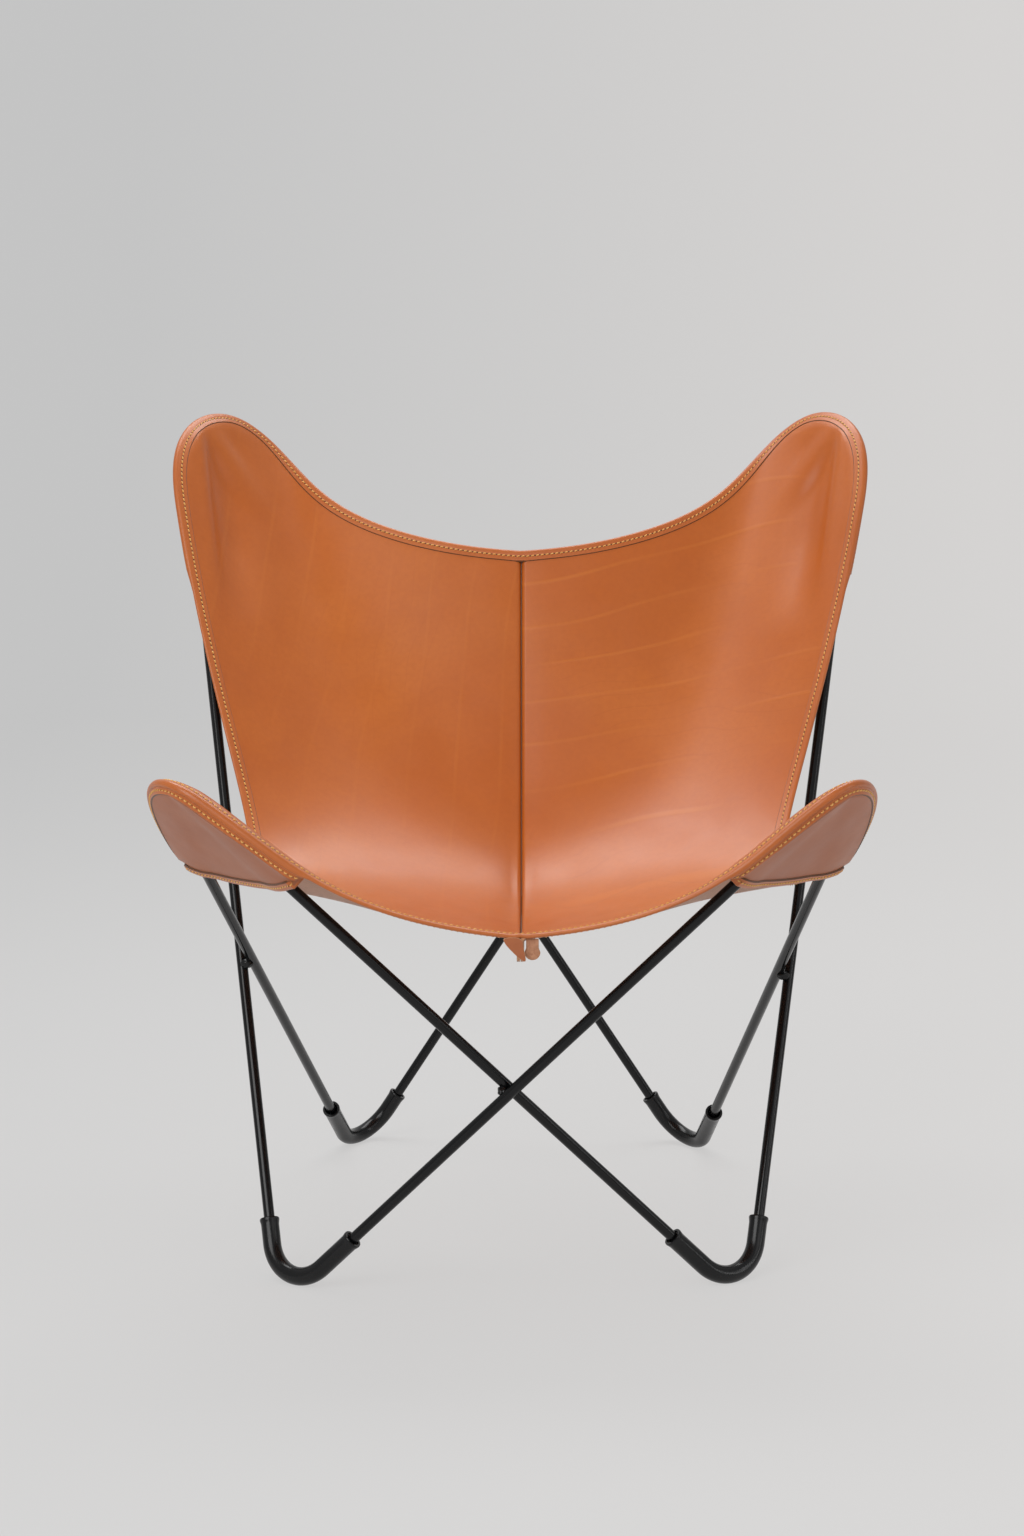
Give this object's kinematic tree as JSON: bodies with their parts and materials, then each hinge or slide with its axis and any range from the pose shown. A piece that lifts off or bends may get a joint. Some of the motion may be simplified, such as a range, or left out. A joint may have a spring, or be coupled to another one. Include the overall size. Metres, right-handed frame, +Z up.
{
  "type": "butterfly_chair",
  "caption": "Butterfly sling chair: a sewn tan leather sling hangs from a black welded round-rod frame with covered feet.",
  "frame": {"origin": "centre of the overall box, on the floor under the foot sleeves", "axes": "+X right seen from the front, -Y towards the front, +Z up"},
  "size_m": [0.8512, 0.86, 0.9446],
  "materials": {
    "black_steel": "gloss",
    "black_sleeve": "satin",
    "tan_leather": "satin",
    "leather_underside": "matte",
    "leather_binding": "satin",
    "ochre_thread": "matte"
  },
  "bodies": {
    "root": {"left_rod_loop": "black_steel", "right_rod_loop": "black_steel", "front_left_foot_sleeve": "black_sleeve", "front_right_foot_sleeve": "black_sleeve", "back_left_foot_sleeve": "black_sleeve", "back_right_foot_sleeve": "black_sleeve", "front_weld": "black_steel", "back_weld": "black_steel", "left_weld": "black_steel", "right_weld": "black_steel", "left_leather_panel": "tan_leather", "right_leather_panel": "tan_leather", "front_left_pocket": "leather_underside", "front_left_pocket_mouth_binding": "leather_binding", "front_right_pocket": "leather_underside", "front_right_pocket_mouth_binding": "leather_binding", "back_left_pocket": "leather_underside", "back_left_pocket_mouth_binding": "leather_binding", "back_right_pocket": "leather_underside", "back_right_pocket_mouth_binding": "leather_binding", "front_edge_binding": "leather_binding", "back_edge_binding": "leather_binding", "seam_tab": "leather_underside"}
  },
  "joints": []
}
